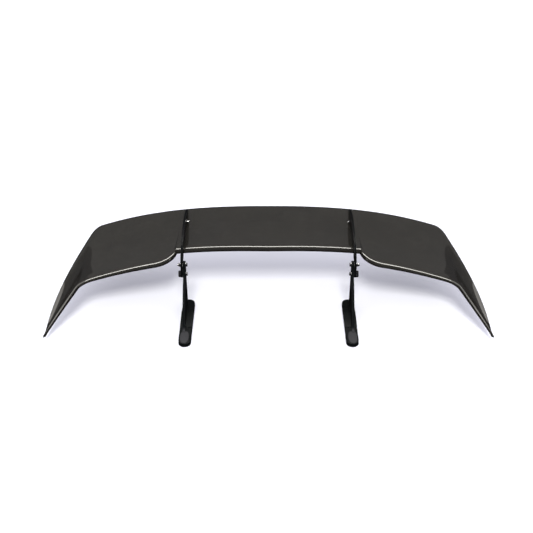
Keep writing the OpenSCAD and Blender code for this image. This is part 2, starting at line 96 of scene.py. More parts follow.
class Graph:
    """Adds and links nodes in one tree, so that a tree reads as a list of steps."""

    def __init__(self, tree: bpy.types.NodeTree) -> None:
        """Keeps the node tree to fill."""
        self.tree = tree

    def add(self, kind: str, links: Optional[dict] = None, **settings: object) -> bpy.types.Node:
        """Adds one node.

        Args:
            kind: The node's Blender type name.
            links: Input name or index to a socket or a plain value.
            settings: Properties set on the node itself.

        Returns:
            The new node.
        """
        node = self.tree.nodes.new(kind)
        for name, value in settings.items():
            setattr(node, name, value)
        self.feed(node, links or {})
        return node

    def feed(self, node: bpy.types.Node, links: dict) -> None:
        """Links sockets, or sets plain values, on a node's own inputs.

        Args:
            node: The node.
            links: Input name or index to a socket or a plain value.
        """
        for name, value in links.items():
            if isinstance(value, bpy.types.NodeSocket):
                self.tree.links.new(value, node.inputs[name])
            else:
                node.inputs[name].default_value = value

    def maths(self, operation: str, *values: object, clamp: bool = False) -> bpy.types.NodeSocket:
        """Works out sockets or numbers, kept between 0 and 1 if clamp is set."""
        links = dict(enumerate(values))
        return self.add("ShaderNodeMath", links, operation=operation, use_clamp=clamp).outputs[0]

    def vector(self, operation: str, links: dict) -> bpy.types.Node:
        """Adds a vector maths node."""
        return self.add("ShaderNodeVectorMath", links, operation=operation)

    def bump(self, height: object, strength: float, distance: float) -> bpy.types.NodeSocket:
        """Turns heights, of which 1 rises by the distance, into a normal."""
        links = {"Height": height, "Strength": strength, "Distance": distance}
        return self.add("ShaderNodeBump", links).outputs[0]

    def use(self, tree: bpy.types.NodeTree, links: dict) -> bpy.types.Node:
        """Places a shared effect, with its own input values and sockets."""
        return self.add("ShaderNodeGroup", links, node_tree=tree)

    def times(self, first: object, second: object, clamp: bool = False) -> bpy.types.NodeSocket:
        """Multiplies two sockets or numbers."""
        return self.maths("MULTIPLY", first, second, clamp=clamp)

    def over(self, first: object, second: object) -> bpy.types.NodeSocket:
        """Divides the first by the second."""
        return self.maths("DIVIDE", first, second)

    def plus(self, first: object, second: object) -> bpy.types.NodeSocket:
        """Adds two sockets or numbers."""
        return self.maths("ADD", first, second)

    def minus(self, first: object, second: object) -> bpy.types.NodeSocket:
        """Takes the second from the first."""
        return self.maths("SUBTRACT", first, second)

    def blend(self, factor: object, first: object, second: object,
              colour: bool = False) -> bpy.types.NodeSocket:
        """Adds a mix of two values or colours.

        Args:
            factor: The share of the second.
            first: Value or colour at 0.
            second: Value or colour at 1.
            colour: Whether the two are colours.

        Returns:
            The mixed socket.
        """
        kind, a, b, out = ("RGBA", 6, 7, 2) if colour else ("FLOAT", 2, 3, 0)
        links = {0: factor, a: first, b: second}
        return self.add("ShaderNodeMix", links, data_type=kind).outputs[out]

    def ramp(self, factor: bpy.types.NodeSocket, low: float, high: float) -> bpy.types.NodeSocket:
        """Stretches a value so that low becomes 0 and high becomes 1, clamped."""
        links = {"Value": factor, "From Min": low, "From Max": high}
        return self.add("ShaderNodeMapRange", links).outputs["Result"]


def new_group(name: str, inputs: dict[str, tuple[str, object]],
              outputs: dict[str, str]) -> tuple[Graph, bpy.types.Node, bpy.types.Node]:
    """Starts a shader node group.

    Args:
        name: The group's name.
        inputs: Input name to socket type and starting value.
        outputs: Output name to socket type.

    Returns:
        The graph, the group's input node and its output node.
    """
    tree = bpy.data.node_groups.new(name, "ShaderNodeTree")
    for label, (kind, value) in inputs.items():
        socket = tree.interface.new_socket(label, in_out="INPUT", socket_type=kind)
        if value is not None:
            socket.default_value = value
    for label, kind in outputs.items():
        tree.interface.new_socket(label, in_out="OUTPUT", socket_type=kind)
    graph = Graph(tree)
    return graph, graph.add("NodeGroupInput"), graph.add("NodeGroupOutput")


FLOAT = "NodeSocketFloat"
VECTOR = "NodeSocketVector"


class SharedEffects:
    """Shader groups that several finishes use, each built once."""

    def __init__(self) -> None:
        """Builds the four groups."""
        self.weave = self.make_weave()
        self.handling = self.make_handling()
        self.grain = self.make_grain()
        self.edge = self.make_edge()

    def make_weave(self) -> bpy.types.NodeTree:
        """A woven laminate: which tow is on top, how it bulges, and its fine threads.

        Returns:
            The group, with outputs Over (0 or 1), Height, Thread and Shade.
        """
        graph, start, end = new_group(
            "woven_tows",
            {"Vector": (VECTOR, None), "Tow Width": (FLOAT, 0.002), "Float": (FLOAT, 2.0)},
            {"Over": FLOAT, "Height": FLOAT, "Thread": FLOAT, "Shade": FLOAT})
        parts = graph.add("ShaderNodeSeparateXYZ", {0: start.outputs["Vector"]})
        width, floats = start.outputs["Tow Width"], start.outputs["Float"]
        across = graph.over(parts.outputs[0], width)
        down = graph.over(parts.outputs[1], width)
        cell_a = graph.maths("FLOOR", across)
        cell_b = graph.maths("FLOOR", down)
        step = graph.plus(cell_a, cell_b)
        period = graph.times(floats, 2.0)
        turn = graph.maths("FLOORED_MODULO", step, period)
        over = graph.maths("LESS_THAN", turn, floats)
        local_a = graph.minus(graph.maths("FRACT", across), 0.5)
        local_b = graph.minus(graph.maths("FRACT", down), 0.5)
        side = graph.blend(over, local_a, local_b)
        crown = graph.minus(1.0, graph.times(graph.times(side, side), 3.2))
        place = graph.plus(graph.blend(over, down, across), graph.blend(over, cell_a, cell_b))
        run = graph.over(graph.maths("FLOORED_MODULO", place, floats), floats)
        dip = graph.maths("SINE", graph.times(run, math.pi))
        height = graph.times(crown, graph.plus(0.55, graph.times(dip, 0.45)))
        thread = graph.maths("SINE", graph.times(side, 44.0))
        patches = graph.add("ShaderNodeTexNoise", {
            "Vector": start.outputs["Vector"], "Scale": 9.0, "Detail": 2.0})
        graph.feed(end, {"Over": over, "Height": height, "Thread": thread,
                         "Shade": patches.outputs[0]})
        return graph.tree

    def make_handling(self) -> bpy.types.NodeTree:
        """Faint dust and wipe marks from handling.

        Returns:
            The group, with outputs Dust and Smear.
        """
        graph, start, end = new_group(
            "handling_marks",
            {"Vector": (VECTOR, None), "Dust Amount": (FLOAT, 0.2), "Scale": (FLOAT, 1.0)},
            {"Dust": FLOAT, "Smear": FLOAT})
        scaled = graph.vector("SCALE", {
            0: start.outputs["Vector"], 3: start.outputs["Scale"]}).outputs[0]
        specks = graph.add("ShaderNodeTexVoronoi", {"Vector": scaled, "Scale": 420.0})
        speck = graph.ramp(specks.outputs["Distance"], 0.16, 0.05)
        cloud = graph.add("ShaderNodeTexNoise", {
            "Vector": scaled, "Scale": 14.0, "Detail": 5.0, "Roughness": 0.62})
        drift = graph.ramp(cloud.outputs[0], 0.5, 0.72)
        dust = graph.plus(graph.times(speck, drift), graph.times(drift, 0.25))
        dust = graph.times(dust, start.outputs["Dust Amount"])
        stretch = graph.add("ShaderNodeMapping", {"Vector": scaled, "Scale": (6.0, 90.0, 40.0)})
        wipes = graph.add("ShaderNodeTexNoise", {
            "Vector": stretch.outputs[0], "Scale": 1.0, "Detail": 3.0})
        smear = graph.ramp(wipes.outputs[0], 0.4, 0.75)
        graph.feed(end, {"Dust": dust, "Smear": smear})
        return graph.tree

    def make_grain(self) -> bpy.types.NodeTree:
        """Fine directional lines left by machining or moulding.

        Returns:
            The group, with outputs Lines and Pits.
        """
        graph, start, end = new_group(
            "metal_grain",
            {"Vector": (VECTOR, None), "Stretch": (VECTOR, (1.0, 1.0, 1.0)),
             "Pit Scale": (FLOAT, 1800.0)},
            {"Lines": FLOAT, "Pits": FLOAT})
        pulled = graph.vector("MULTIPLY", {
            0: start.outputs["Vector"], 1: start.outputs["Stretch"]})
        lines = graph.add("ShaderNodeTexNoise", {
            "Vector": pulled.outputs[0], "Scale": 1.0, "Detail": 4.0, "Roughness": 0.65})
        pits = graph.add("ShaderNodeTexNoise", {
            "Vector": start.outputs["Vector"], "Scale": start.outputs["Pit Scale"],
            "Detail": 2.0})
        graph.feed(end, {"Lines": lines.outputs[0], "Pits": pits.outputs[0]})
        return graph.tree

    def make_edge(self) -> bpy.types.NodeTree:
        """A mask that is 1 on worn edges, broken up by noise.

        Returns:
            The group, with output Wear.
        """
        graph, start, end = new_group(
            "edge_wear",
            {"Vector": (VECTOR, None), "Edge": (FLOAT, 0.0), "Amount": (FLOAT, 0.5)},
            {"Wear": FLOAT})
        breaks = graph.add("ShaderNodeTexNoise", {
            "Vector": start.outputs["Vector"], "Scale": 160.0, "Detail": 4.0})
        broken = graph.ramp(breaks.outputs[0], 0.42, 0.62)
        edges = graph.times(start.outputs["Edge"], broken)
        wear = graph.times(edges, start.outputs["Amount"], clamp=True)
        graph.feed(end, {"Wear": wear})
        return graph.tree


def new_surface(name: str) -> tuple[bpy.types.Material, Graph, bpy.types.Node,
                                    bpy.types.NodeSocket]:
    """Starts a material with one plain shader.

    Args:
        name: The material's name.

    Returns:
        The material, its graph, its Principled shader and the object's own coordinates.
    """
    material = bpy.data.materials.new(name)
    material.use_nodes = True
    material.node_tree.nodes.clear()
    graph = Graph(material.node_tree)
    shader = graph.add("ShaderNodeBsdfPrincipled")
    output = graph.add("ShaderNodeOutputMaterial")
    material.node_tree.links.new(shader.outputs[0], output.inputs[0])
    return material, graph, shader, graph.add("ShaderNodeTexCoord").outputs["Object"]


Colour = tuple[float, float, float, float]


@dataclass(frozen=True)
class LaminateFinish:
    """Clear-coated woven carbon laminate, dark, with a soft sheen of its tows painted into its
    colour.
    """

    name: str = "twill_laminate"
    tow: float = 2.2 * MM
    cloth: Cloth = Cloth.TWILL
    # dark and light are the colours at no painted sheen and at full painted sheen of the tows.
    dark: Colour = (0.005, 0.005, 0.005, 1.0)
    light: Colour = (0.024, 0.021, 0.0145, 1.0)
    dust: Colour = (0.12, 0.115, 0.10, 1.0)
    roughness: tuple[float, float] = (0.34, 0.44)
    relief: float = 0.16 * MM
    coat_roughness: float = 0.035

    def build(self, effects: SharedEffects) -> bpy.types.Material:
        """Makes the material.

        Args:
            effects: The shared shader groups.

        Returns:
            The material, which reads the piece's own UV map in metres.
        """
        material, graph, shader, solid = new_surface(self.name)
        place = graph.add("ShaderNodeUVMap", uv_map="surface").outputs[0]
        tows = graph.use(effects.weave, {
            "Vector": place, "Tow Width": self.tow, "Float": float(self.cloth.value)})
        marks = graph.use(effects.handling, {
            "Vector": solid, "Dust Amount": 0.10, "Scale": 0.8})
        over, height = tows.outputs["Over"], tows.outputs["Height"]
        # Painted sheen: each tow lighter along its crown, tows running one way darker than those
        # running the other, with fine thread lines and random patches; dust goes over it.
        painted_sheen = graph.times(height, graph.blend(over, 1.0, 0.62))
        painted_sheen = graph.times(painted_sheen, graph.plus(0.85, graph.times(tows.outputs["Thread"], 0.15)))
        shade = graph.plus(0.6, graph.times(tows.outputs["Shade"], 0.8))
        painted_sheen = graph.times(painted_sheen, shade, clamp=True)
        tint = graph.blend(painted_sheen, self.dark, self.light, colour=True)
        tint = graph.blend(marks.outputs["Dust"], tint, self.dust, colour=True)
        graph.feed(shader, {
            "Base Color": tint, "Roughness": graph.blend(over, *self.roughness),
            "Normal": graph.bump(height, 0.35, self.relief), "Specular IOR Level": 0.08,
            "Coat Weight": 1.0, "Coat Roughness": self.coat_roughness, "Coat IOR": 1.55})
        return material


@dataclass(frozen=True)
class CoatedAlloyFinish:
    """Satin black coating on machined alloy, worn through here and there on its edges, with an
    optional lighter oval.
    """

    name: str
    colour: Colour = (0.0035, 0.004, 0.004, 1.0)
    bare: Colour = (0.34, 0.34, 0.35, 1.0)
    roughness: float = 0.34
    wear: float = 0.35
    pit: float = 0.05
    dust: Colour = (0.26, 0.25, 0.24, 1.0)
    # Colour, middle (x mirrored, y) and reach of an optional lighter oval; on the stays it lies
    # on the front end of each foot.
    rubbed: Colour = (0.038, 0.038, 0.038, 1.0)
    rubbed_at: Optional[tuple[float, float]] = None
    rubbed_size: tuple[float, float] = (16 * MM, 34 * MM)

    def build(self, effects: SharedEffects) -> bpy.types.Material:
        """Makes the material.

        Args:
            effects: The shared shader groups.

        Returns:
            The material.
        """
        material, graph, shader, solid = new_surface(self.name)
        grain = graph.use(effects.grain, {
            "Vector": solid, "Stretch": (900.0, 40.0, 40.0), "Pit Scale": 2400.0})
        marks = graph.use(effects.handling, {
            "Vector": solid, "Dust Amount": 0.035, "Scale": 1.6})
        soft = graph.add("ShaderNodeBevel", {"Radius": 0.9 * MM}, samples=4)
        flat = graph.add("ShaderNodeNewGeometry").outputs["Normal"]
        same = graph.vector("DOT_PRODUCT", {0: soft.outputs[0], 1: flat}).outputs["Value"]
        worn = graph.use(effects.edge, {
            "Vector": solid, "Edge": graph.ramp(same, 0.985, 0.9),
            "Amount": self.wear}).outputs["Wear"]
        tint = graph.blend(worn, self.colour, self.bare, colour=True)
        # Lightens the colour over an oval round the given spot on both sides.
        if self.rubbed_at is not None:
            place = graph.add("ShaderNodeSeparateXYZ", {0: solid})
            sides = (graph.maths("ABSOLUTE", place.outputs[0]), place.outputs[1])
            shares = [graph.maths("ABSOLUTE", graph.over(graph.minus(side, middle), reach))
                      for side, middle, reach in zip(sides, self.rubbed_at, self.rubbed_size)]
            away = graph.plus(*(graph.maths("POWER", share, 2.5) for share in shares))
            tint = graph.blend(graph.ramp(away, 1.15, 0.75), tint, self.rubbed, colour=True)
        tint = graph.blend(marks.outputs["Dust"], tint, self.dust, colour=True)
        rough = graph.plus(self.roughness, graph.times(marks.outputs["Smear"], 0.14))
        height = graph.plus(graph.times(grain.outputs["Pits"], 0.7),
                            graph.times(grain.outputs["Lines"], 0.3))
        graph.feed(shader, {
            "Base Color": tint, "Metallic": worn, "Roughness": rough, "IOR": 1.5,
            "Specular IOR Level": 0.07, "Normal": graph.bump(height, 0.5, self.pit * MM)})
        return material


@dataclass(frozen=True)
class MetalFinish:
    """Bare metal with turned or brushed lines."""

    name: str
    colour: Colour
    roughness: float
    stretch: tuple[float, float, float] = (1500.0, 90.0, 90.0)
    tarnish: Colour = (0.35, 0.34, 0.33, 1.0)

    def build(self, effects: SharedEffects) -> bpy.types.Material:
        """Makes the material.

        Args:
            effects: The shared shader groups.

        Returns:
            The material.
        """
        material, graph, shader, solid = new_surface(self.name)
        grain = graph.use(effects.grain, {"Vector": solid, "Stretch": self.stretch})
        marks = graph.use(effects.handling, {
            "Vector": solid, "Dust Amount": 0.25, "Scale": 3.0})
        tint = graph.blend(graph.times(marks.outputs["Smear"], 0.3),
                           self.colour, self.tarnish, colour=True)
        lines = grain.outputs["Lines"]
        graph.feed(shader, {
            "Base Color": tint, "Metallic": 1.0,
            "Roughness": graph.plus(self.roughness, graph.times(lines, 0.12)),
            "Normal": graph.bump(lines, 0.4, 0.02 * MM)})
        return material


@dataclass(frozen=True)
class PolymerFinish:
    """Moulded rubber, nylon or unseen raw laminate: matt, slightly pitted and dusty."""

    name: str
    colour: Colour
    dust: Colour
    roughness: float = 0.7
    pit: float = 0.12

    def build(self, effects: SharedEffects) -> bpy.types.Material:
        """Makes the material.

        Args:
            effects: The shared shader groups.

        Returns:
            The material.
        """
        material, graph, shader, solid = new_surface(self.name)
        grain = graph.use(effects.grain, {
            "Vector": solid, "Stretch": (300.0, 300.0, 900.0), "Pit Scale": 1300.0})
        marks = graph.use(effects.handling, {
            "Vector": solid, "Dust Amount": 0.5, "Scale": 2.0})
        tint = graph.blend(marks.outputs["Dust"], self.colour, self.dust, colour=True)
        pits = grain.outputs["Pits"]
        graph.feed(shader, {
            "Base Color": tint,
            "Roughness": graph.plus(self.roughness, graph.times(pits, 0.15)),
            "Normal": graph.bump(pits, 0.6, self.pit * MM)})
        return material


class Finishes:
    """Every material of the object, built once."""

    def __init__(self) -> None:
        """Builds the shared effects and then each finish."""
        effects = SharedEffects()
        self.laminate = LaminateFinish().build(effects)
        self.arm = CoatedAlloyFinish("coated_arm").build(effects)
        self.stay = CoatedAlloyFinish(
            "coated_stay", colour=(0.0045, 0.0055, 0.0055, 1.0), roughness=0.4, pit=0.09,
            wear=0.25, rubbed_at=(299 * MM, -229 * MM)).build(effects)
        self.knob = CoatedAlloyFinish(
            "coated_knob", colour=(0.009, 0.009, 0.0095, 1.0), roughness=0.3,
            wear=0.5).build(effects)
        self.steel = MetalFinish("bright_steel", (0.66, 0.665, 0.68, 1.0), 0.16).build(effects)
        self.dark_steel = MetalFinish("dark_steel", (0.09, 0.09, 0.095, 1.0), 0.36,
                                      tarnish=(0.16, 0.15, 0.14, 1.0)).build(effects)
        self.alloy = MetalFinish("bare_alloy", (0.62, 0.63, 0.65, 1.0), 0.3,
                                 stretch=(90.0, 1400.0, 90.0)).build(effects)
        self.bronze = MetalFinish("sintered_bronze", (0.52, 0.36, 0.17, 1.0), 0.34,
                                  tarnish=(0.25, 0.17, 0.08, 1.0)).build(effects)
        self.rubber = PolymerFinish("pad_rubber", (0.010, 0.010, 0.0105, 1.0),
                                    (0.12, 0.12, 0.115, 1.0)).build(effects)
        self.nylon = PolymerFinish("nylon_shim", (0.62, 0.61, 0.57, 1.0),
                                   (0.5, 0.49, 0.45, 1.0), roughness=0.45).build(effects)
        self.inner = PolymerFinish("raw_laminate", (0.03, 0.03, 0.03, 1.0),
                                   (0.1, 0.1, 0.1, 1.0)).build(effects)
        self.by_slot = {
            "carbon": self.laminate, "inner_laminate": self.inner, "bare_alloy": self.alloy,
            "black_alloy": self.arm, "black_knob": self.knob, "stainless": self.steel,
            "dark_steel": self.dark_steel, "bronze": self.bronze, "nylon": self.nylon,
            "rubber": self.rubber}


# ---- mesh helpers

WELD = 0.002 * MM
FLAT_ANGLE = math.radians(0.6)
EDGE_ANGLE = math.radians(32)
PLATE_CRISP = 28
SKIN_CRISP = 38


def link_piece(name: str, data: bpy.types.ID) -> bpy.types.Object:
    """Makes an object at the origin.

    Args:
        name: The object's name.
        data: Its mesh, light or camera.

    Returns:
        The linked object.
    """
    piece = bpy.data.objects.new(name, data)
    bpy.context.scene.collection.objects.link(piece)
    return piece


def bake(piece: bpy.types.Object) -> bpy.types.Object:
    """Turns a piece with modifiers into a plain mesh piece of the same name.

    Args:
        piece: The object to flatten.

    Returns:
        The object with its evaluated mesh and no modifier.
    """
    graph = bpy.context.evaluated_depsgraph_get()
    mesh = bpy.data.meshes.new_from_object(
        piece.evaluated_get(graph), preserve_all_data_layers=True, depsgraph=graph)
    piece.modifiers.clear()
    piece.data = mesh
    return piece


def smooth(mesh: bpy.types.Mesh, angle: float) -> None:
    """Shades a mesh smooth, and keeps edges sharper than an angle in degrees crisp."""
    mesh.shade_smooth()
    mesh.set_sharp_from_angle(angle=math.radians(angle))


def softened_copy(node: str, width: float, segments: int = 2) -> bpy.types.Object:
    """Copies a CAD node, joins its flat faces and rounds its edges.

    Args:
        node: The CAD node's name.
        width: How far the rounding reaches from each edge.
        segments: Steps in the rounding.

    Returns:
        The new piece, with no modifier left on it.
    """
    mesh = frame["nodes"][node].data.copy()
    mesh.materials.clear()
    work = bmesh.new()
    work.from_mesh(mesh)
    bmesh.ops.remove_doubles(work, verts=work.verts, dist=WELD)
    bmesh.ops.dissolve_limit(work, angle_limit=FLAT_ANGLE, verts=work.verts,
                             edges=work.edges, use_dissolve_boundaries=False)
    work.to_mesh(mesh)
    work.free()
    piece = link_piece(node + "_softened", mesh)
    bevel = piece.modifiers.new("edges", "BEVEL")
    bevel.width = width
    bevel.segments = segments
    bevel.limit_method = "ANGLE"
    bevel.angle_limit = EDGE_ANGLE
    bake(piece)
    smooth(piece.data, PLATE_CRISP)
    return piece


def hand_in(piece: bpy.types.Object, slot: str, body: Body, *nodes: str) -> None:
    """Hides the CAD nodes that a finished piece replaces and puts the piece on the body it rides
    on.

    Args:
        piece: The piece.
        slot: The record's material slot; not used.
        body: The body it rides on.
        nodes: The CAD nodes it replaces.
    """
    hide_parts(*nodes)
    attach(piece, body.value)
    log.info("%-26s %d faces", piece.name, len(piece.data.polygons))


# ---- geometry node trees


class ShapeTree:
    """A geometry node tree with named inputs, ending in Realize Instances and Set Material."""

    def __init__(self, name: str, inputs: dict[str, tuple[str, object]]) -> None:
        """Starts the tree.

        Args:
            name: The tree's name.
            inputs: Input name to socket type and starting value.
        """
        self.tree = bpy.data.node_groups.new(name, "GeometryNodeTree")
        face = self.tree.interface
        face.new_socket("Geometry", in_out="INPUT", socket_type="NodeSocketGeometry")
        for label, (kind, value) in inputs.items():
            socket = face.new_socket(label, in_out="INPUT", socket_type=kind)
            if value is not None:
                socket.default_value = value
        face.new_socket("Geometry", in_out="OUTPUT", socket_type="NodeSocketGeometry")
        self.graph = Graph(self.tree)
        self.start = self.graph.add("NodeGroupInput")

    def attribute(self, name: str, kind: str = "FLOAT") -> bpy.types.NodeSocket:
        """Reads a named attribute of the incoming mesh."""
        node = self.graph.add("GeometryNodeInputNamedAttribute", {"Name": name}, data_type=kind)
        return node.outputs["Attribute"]

    def close(self, shape: bpy.types.NodeSocket) -> None:
        """Ends the tree.

        Args:
            shape: The geometry to put out.
        """
        real = self.graph.add("GeometryNodeRealizeInstances", {0: shape})
        dressed = self.graph.add("GeometryNodeSetMaterial", {
            "Geometry": real.outputs[0], "Material": self.start.outputs["Finish"]})
        end = self.graph.add("NodeGroupOutput")
        self.tree.links.new(dressed.outputs[0], end.inputs[0])

    def apply(self, piece: bpy.types.Object, values: dict[str, object]) -> bpy.types.Object:
        """Runs the tree on a piece and flattens the result.

        Args:
            piece: The object that carries the incoming mesh.
            values: Input name to value.

        Returns:
            The flattened piece.
        """
        modifier = piece.modifiers.new(self.tree.name, "NODES")
        modifier.node_group = self.tree
        idents = {item.name: item.identifier for item in self.tree.interface.items_tree
                  if item.in_out == "INPUT"}
        for name, value in values.items():
            modifier[idents[name]] = value
        piece.data.update()
        return bake(piece)


MATERIAL_INPUT = {"Finish": ("NodeSocketMaterial", None)}


def section_tree() -> ShapeTree:
    """Builds the rule of the aerofoil's section, worked out at every point of a station grid.

    Returns:
        A tree whose inputs are the section's sizes. The mesh carries each point's station.
    """
    shape = ShapeTree("aerofoil_section", {
        "Camber": (FLOAT, 0.04), "Nose Share": (FLOAT, 0.11), "Edge Thickness": (FLOAT, 0.003),
        "Skin": (FLOAT, 0.0012), **MATERIAL_INPUT})
    graph, start = shape.graph, shape.start
    share, chord, thick = (shape.attribute(name) for name in ("share", "chord", "thick"))
    nose = start.outputs["Nose Share"]
    ahead = graph.minus(1.0, graph.over(share, nose))
    inside = graph.minus(1.0, graph.times(ahead, ahead))
    round_off = graph.maths("SQRT", graph.maths("MAXIMUM", 0.0, inside))
    front = graph.times(thick, round_off)
    aft = graph.over(graph.minus(share, nose), graph.minus(1.0, nose))
    fall = graph.maths("POWER", graph.maths("MAXIMUM", 0.0, aft), 1.5)
    rear = graph.blend(fall, thick, start.outputs["Edge Thickness"])
    is_nose = graph.maths("LESS_THAN", share, nose)
    half = graph.times(0.5, graph.blend(is_nose, rear, front))
    wall = graph.maths("MAXIMUM", graph.maths(
        "MINIMUM", start.outputs["Skin"], graph.times(half, 0.6)),
        graph.times(half, shape.attribute("closing")))
    deepest = graph.times(graph.times(start.outputs["Camber"], chord), -4.0)
    sag = graph.times(deepest, graph.times(share, graph.minus(1.0, share)))
    reach = graph.minus(graph.times(shape.attribute("lift"), half),
                        graph.times(shape.attribute("inset"), wall))
    rise = graph.plus(sag, graph.times(shape.attribute("face_side"), reach))
    rise = graph.times(rise, shape.attribute("blunt"))
    span = graph.times(share, chord)
    spot = shape.attribute("lead", "FLOAT_VECTOR")
    for name, length in (("along", span), ("outward", rise)):
        way = graph.vector("SCALE", {0: shape.attribute(name, "FLOAT_VECTOR"), 3: length})
        spot = graph.vector("ADD", {0: spot, 1: way.outputs[0]}).outputs[0]
    moved = graph.add("GeometryNodeSetPosition", {
        "Geometry": start.outputs["Geometry"], "Position": spot})
    shape.close(moved.outputs[0])
    return shape


def repeat_tree() -> ShapeTree:
    """Puts a copy of one part on each point, turned by the point's own turn.

    Returns:
        A tree with the part as its Part input.
    """
    shape = ShapeTree("hardware_on_points", {
        "Part": ("NodeSocketObject", None), **MATERIAL_INPUT})
    graph, start = shape.graph, shape.start
    part = graph.add("GeometryNodeObjectInfo", {"Object": start.outputs["Part"]},
                     transform_space="ORIGINAL")
    turn = graph.add("FunctionNodeEulerToRotation", {0: shape.attribute("turn", "FLOAT_VECTOR")})
    placed = graph.add("GeometryNodeInstanceOnPoints", {
        "Points": start.outputs["Geometry"], "Instance": part.outputs["Geometry"],
        "Rotation": turn.outputs[0]})
    shape.close(placed.outputs[0])
    return shape


# ---- the aerofoil

Point = np.ndarray


def mix(first: float | Point, second: float | Point, share: float) -> float | Point:
    """Goes from first at 0 to second at 1."""
    return first + (second - first) * share


def unit(vector: Point) -> Point:
    """Scales a vector to length one."""
    return vector / np.linalg.norm(vector)


def clamp01(value: float) -> float:
    """Keeps a value between 0 and 1."""
    return min(1.0, max(0.0, value))


@dataclass(frozen=True)
class Aerofoil:
    """The one-piece wing: two bonded skins on the plan, arch and section of the CAD part.

    Lengths are in millimetres until a point is placed. A span parameter t goes from 0 at the
    centre over 1 at the crease to 2 at the tip.
    """

    finish: bpy.types.Material
    pivot_y: float
    pivot_height: float
    neck_outer: float
    crease_x: float = 665.0
    crease_splay: float = 15.0
    te_back: float = 315.0
    te_rise: float = 60.0
    te_sweep: float = 38.0
    te_arch: float = 72.0
    centre_chord: float = 261.0
    outer_chord: float = 317.0
    crease_chord: float = 325.0
    incidence: float = math.radians(8.0)
    inner_taper: float = 8.0
    step_gap: float = 19.0
    step_width: float = 80.0
    tip_out: float = 129.7
    tip_ahead: float = 196.0
    tip_height: float = 24.0
    tip_chord: float = 20.0
    section_thickness: float = 27.0
    crease_thickness: float = 20.0
    tip_thickness: float = 9.0
    camber: float = 0.04
    nose_share: float = 0.11
    te_thickness: float = 3.0
    skin: float = 0.9
    le_round: tuple[float, float] = (0.06, 0.13)
    te_round: tuple[float, float] = (0.04, 0.08)
    bulge: tuple[float, float, float] = (19.0, 0.0, 6.0)
    hollow_to: float = 0.9
    closing_from: float = 1.9
    closing_span: float = 0.06
    blunt_from: float = 1.985
    steps: int = 44

    def te_flat(self, t: float) -> Point:
        """The trailing edge on the flat part."""
        return np.array([self.crease_x * t, self.te_back - self.te_sweep * t * t,
                         self.pivot_height + self.te_rise - self.te_arch * t ** 2.8])

    def step_span(self) -> tuple[float, float]:
        """The span parameters between which the leading edge steps forward."""
        start = (self.neck_outer + self.step_gap) / self.crease_x
        return start, start + self.step_width / self.crease_x

    def chord_at(self, t: float) -> float:
        """The chord on the flat part, with the leading-edge step.

        Args:
            t: The span parameter.

        Returns:
            The chord, in millimetres.
        """
        start, end = self.step_span()
        w = clamp01((t - start) / (end - start))
        inner = self.centre_chord - self.inner_taper * clamp01(t / start)
        outer = mix(self.outer_chord, self.crease_chord, clamp01((t - end) / (1 - end)))
        return mix(inner, outer, (1 - (1 - w) ** 2.2) ** 0.6)

    def le_flat(self, t: float) -> Point:
        """The leading edge on the flat part.

        Args:
            t: The span parameter.

        Returns:
            The point, in millimetres.
        """
        back = self.chord_at(t)
        return self.te_flat(t) + np.array([
            self.crease_splay * t ** 4, -back * math.cos(self.incidence),
            -back * math.sin(self.incidence)])

    def corner_and_tip(self, leading: bool) -> tuple[Point, Point]:
        """The crease corner and the tip of one edge.

        Args:
            leading: Whether the edge is the leading one.

        Returns:
            The two points.
        """
        tip = np.array([self.crease_x + self.tip_out, -self.tip_ahead, self.tip_height])
        if leading:
            return self.le_flat(1.0), tip
        return self.te_flat(1.0), tip + self.tip_chord * unit(np.array([-0.25, 1.0, 0.35]))

    def edge(self, t: float, leading: bool) -> Point:
        """A point of either edge, from the centre (0) past the crease (1) to the tip (2).

        Args:
            t: The span parameter.
            leading: Whether the edge is the leading one.

        Returns:
            The point, in millimetres.
        """
        flat = self.le_flat if leading else self.te_flat
        corner, tip = self.corner_and_tip(leading)
        swell = np.zeros(3) if leading else np.array(self.bulge)

        def droop(f: float) -> Point:
            """A point of the drooped part."""
            return mix(corner, tip, f) + swell * 4 * f * (1 - f) * (0.7 + 0.6 * f)

        inward, out = self.le_round if leading else self.te_round
        if t < 1 - inward:
            return flat(t)
        if t > 1 + out:
            return droop(t - 1)
        f = (t - 1 + inward) / (inward + out)
        return (flat(1 - inward) * (1 - f) ** 2 + corner * 2 * f * (1 - f)
                + droop(out) * f * f)

    def thickness(self, t: float) -> float:
        """The section's thickness.

        Args:
            t: The span parameter.

        Returns:
            The thickness, in millimetres.
        """
        if t > 1:
            return mix(self.crease_thickness, self.tip_thickness, t - 1)
        start, _ = self.step_span()
        return mix(self.section_thickness, self.crease_thickness,
                   clamp01((t - start) / (1 - start)))

    def axes(self, t: float) -> tuple[Point, Point, Point, float]:
        """The local axes of the section.

        Args:
            t: The span parameter.

        Returns:
            The leading edge, the chord's direction, the outward direction and the chord's length.
        """
        lead, trail = self.edge(t, True), self.edge(t, False)
        along = unit(trail - lead)
        near, step = min(t, 1.996), 0.004
        span = (self.edge(near + step, False) + self.edge(near + step, True)
                - self.edge(near, False) - self.edge(near, True))
        return lead, along, unit(np.cross(span, along)), float(np.linalg.norm(trail - lead))

    def stations(self) -> list[tuple[float, int]]:
        """Span stations from the left tip to the right tip.

        Returns:
            Pairs of span parameter and side.
        """
        start, end = self.step_span()
        inner, out = 1 - self.le_round[0], 1 + self.le_round[1]
        spans = [(0.0, start, 16, 1.0), (start, end, 34, 1.8), (end, inner, 16, 1.0),
                 (inner, out, 26, 1.0), (out, 1.96, 20, 1.0), (1.96, 2.0, 5, 1.0)]
        half = [0.0] + [mix(a, b, ((k + 1) / n) ** power) for a, b, n, power in spans
                        for k in range(n)]
        return [(t, -1) for t in reversed(half[1:])] + [(t, 1) for t in half]

